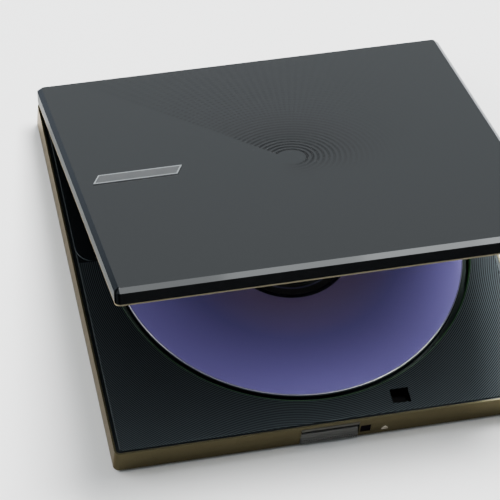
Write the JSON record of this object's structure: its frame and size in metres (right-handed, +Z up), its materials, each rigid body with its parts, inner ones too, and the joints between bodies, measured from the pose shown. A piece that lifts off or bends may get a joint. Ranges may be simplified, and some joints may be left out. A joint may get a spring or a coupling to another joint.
{
  "type": "optical disc drive",
  "caption": "Slim square external top-loading disc drive: hinged lid standing open, front eject button, disc on its spindle in a round well, pickup on two rods inside.",
  "frame": {"origin": "centre of the base's footprint, on the surface that the rubber feet stand on", "axes": "+X to the right, +Y to the hinged back edge, +Z up; the lid is stored open by 26.4 degrees"},
  "size_m": [0.144, 0.1469, 0.0804],
  "materials": {
    "case_bronze": "dark bronze metallic lacquer on moulded plastic, satin",
    "deck_black": "black plastic with a fine moulded weave, glossy across the back",
    "lid_black": "polished black",
    "inner_black": "fine-grained black plastic",
    "badge_metal": "satin",
    "disc_purple": "recordable disc: purple recording zone, clear dark hub zone",
    "rubber_black": "soft",
    "zinc_steel": "zinc plated",
    "ground_steel": "ground bright",
    "cast_metal": "die cast",
    "board_green": "solder mask over copper",
    "chip_black": "moulded package",
    "smoked_plastic": "smoked, polished",
    "copper_wire": "enamelled copper winding",
    "magnet_grey": "sintered magnet or laminated iron",
    "lens_clear": "coated, faint violet",
    "cable_white": "flat flexible cable",
    "connector_white": "moulded",
    "led_clear": "clear moulded"
  },
  "bodies": {
    "base": {"base_shell": "case_bronze", "deck_panel": "deck_black", "rubber_feet": "rubber_black", "case_screws": "zinc_steel", "led_window": "smoked_plastic", "front_board": "board_green", "indicator_led": "led_clear", "lid_switch": "chip_black", "main_board": "board_green", "board_chips": "chip_black", "board_small_parts": "chip_black", "ribbon_connectors": "connector_white", "board_screws": "zinc_steel", "usb_port": "zinc_steel", "usb_tongue": "chip_black", "button_springs": "ground_steel", "lever_spring": "ground_steel", "hinge_pins": "ground_steel", "traverse_plate": "zinc_steel", "dampers": "rubber_black", "damper_screws": "zinc_steel", "guide_rods": "ground_steel", "rod_holders": "inner_black", "motor_base": "zinc_steel", "motor_screws": "zinc_steel", "spindle_bearing": "copper_wire", "stator_core": "magnet_grey", "stator_coils": "copper_wire", "sled_motor": "zinc_steel", "screw_bracket": "zinc_steel", "motor_ribbon": "cable_white", "pickup_ribbon": "cable_white"},
    "spindle": {"spindle_shaft": "ground_steel", "rotor_cup": "zinc_steel", "rotor_magnet": "magnet_grey", "turntable": "inner_black", "grip_ring": "rubber_black", "hub_cap": "inner_black"},
    "disc": {"disc": "disc_purple"},
    "ball_1": {"chuck_ball_1": "ground_steel"},
    "ball_2": {"chuck_ball_2": "ground_steel"},
    "ball_3": {"chuck_ball_3": "ground_steel"},
    "pickup": {"sled_carriage": "cast_metal", "laser_diode": "copper_wire", "actuator_magnets": "magnet_grey", "rack_follower": "connector_white"},
    "lens": {"lens_holder": "inner_black", "objective_lens": "lens_clear"},
    "lead_screw": {"lead_screw": "ground_steel"},
    "button": {"eject_button": "inner_black"},
    "lever": {"latch_lever": "inner_black"},
    "plunger": {"switch_plunger": "inner_black"},
    "lid": {"lid_cover": "lid_black", "lid_trim": "case_bronze", "lid_badge": "badge_metal", "lid_liner": "inner_black", "lid_hook": "inner_black", "lid_bumpers": "rubber_black", "hinge_bushes": "inner_black"}
  },
  "joints": [
    {"name": "lid_hinge", "type": "hinge", "parent": "base", "child": "lid", "pos_m": [0, 0.0726, 0.0118], "axis": [-1, 0, 0], "range_deg": [-26.4, 40]},
    {"name": "disc_spin", "type": "hinge", "parent": "base", "child": "spindle", "pos_m": [0.0014, 0, 0.008], "axis": [0, 0, 1], "continuous": true},
    {"name": "disc_lift", "type": "slide", "parent": "spindle", "child": "disc", "axis": [0, 0, 1], "range_m": [0, 0.003]},
    {"name": "ball_1_slide", "type": "slide", "parent": "spindle", "child": "ball_1", "axis": [-0.866, -0.5, 0], "range_m": [0, 0.00025], "stiffness_N_per_m": 200, "springref_m": -0.0001},
    {"name": "ball_2_slide", "type": "slide", "parent": "spindle", "child": "ball_2", "axis": [0.866, -0.5, 0], "range_m": [0, 0.00025], "stiffness_N_per_m": 200, "springref_m": -0.0001},
    {"name": "ball_3_slide", "type": "slide", "parent": "spindle", "child": "ball_3", "axis": [0, 1, 0], "range_m": [0, 0.00025], "stiffness_N_per_m": 200, "springref_m": -0.0001},
    {"name": "sled_slide", "type": "slide", "parent": "base", "child": "pickup", "axis": [-1, 0, 0], "range_m": [0, 0.0345], "deforming": ["pickup_ribbon"]},
    {"name": "lead_screw_spin", "type": "hinge", "parent": "base", "child": "lead_screw", "pos_m": [-0.035, -0.0255, 0.0058], "axis": [-1, 0, 0], "range_deg": [0, 4145]},
    {"name": "lens_focus", "type": "slide", "parent": "pickup", "child": "lens", "axis": [0, 0, 1], "range_m": [-0.0004, 0.0004], "stiffness_N_per_m": 30, "springref_m": 0.00007},
    {"name": "button_press", "type": "slide", "parent": "base", "child": "button", "axis": [0, 1, 0], "range_m": [0, 0.0015], "stiffness_N_per_m": 400, "springref_m": -0.0005, "deforming": ["button_springs"]},
    {"name": "lever_turn", "type": "hinge", "parent": "base", "child": "lever", "pos_m": [0.0165, -0.0665, 0.0092], "axis": [0, 0, -1], "range_deg": [0, 6.4]},
    {"name": "plunger_press", "type": "slide", "parent": "base", "child": "plunger", "axis": [0, 0, -1], "range_m": [0, 0.0005], "stiffness_N_per_m": 150, "springref_m": -0.0003}
  ],
  "couplings": [
    {"joint": "lead_screw_spin", "follows": "sled_slide", "rad_per_m": 2094.4},
    {"joint": "lever_turn", "follows": "button_press", "rad_per_m": 74.1}
  ]
}
